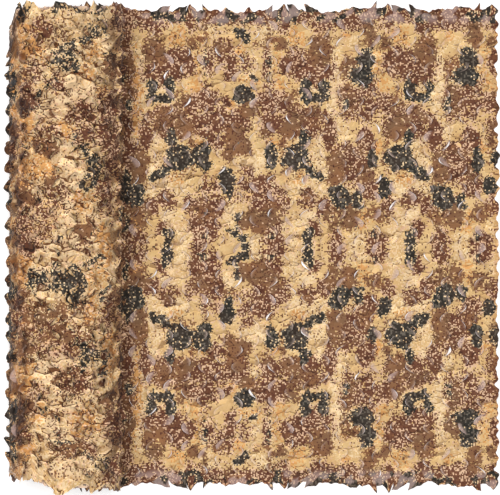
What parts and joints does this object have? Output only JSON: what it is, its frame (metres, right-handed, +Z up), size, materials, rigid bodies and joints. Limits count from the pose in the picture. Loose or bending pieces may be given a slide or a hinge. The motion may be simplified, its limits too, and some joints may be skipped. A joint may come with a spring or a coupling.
{
  "type": "camouflage netting",
  "caption": "Bulk roll of leaf-cut camouflage netting lying on its side, with a length of the net pulled out flat beside it.",
  "frame": {"origin": "middle of the flat spot on which the roll rests", "axes": "+X along the pulled-out length, away from the roll, +Y along the roll's axis, +Z up"},
  "size_m": [1.5636, 1.548, 0.3458],
  "materials": {
    "net_cloth_roll": "printed polyester cloth, sand with brown and black speckle, faint sheen",
    "net_cloth_length": "printed polyester cloth, sand with brown and black speckle, faint sheen"
  },
  "bodies": {
    "root": {"net_roll": "net_cloth_roll", "net_length": "net_cloth_length"}
  },
  "joints": []
}
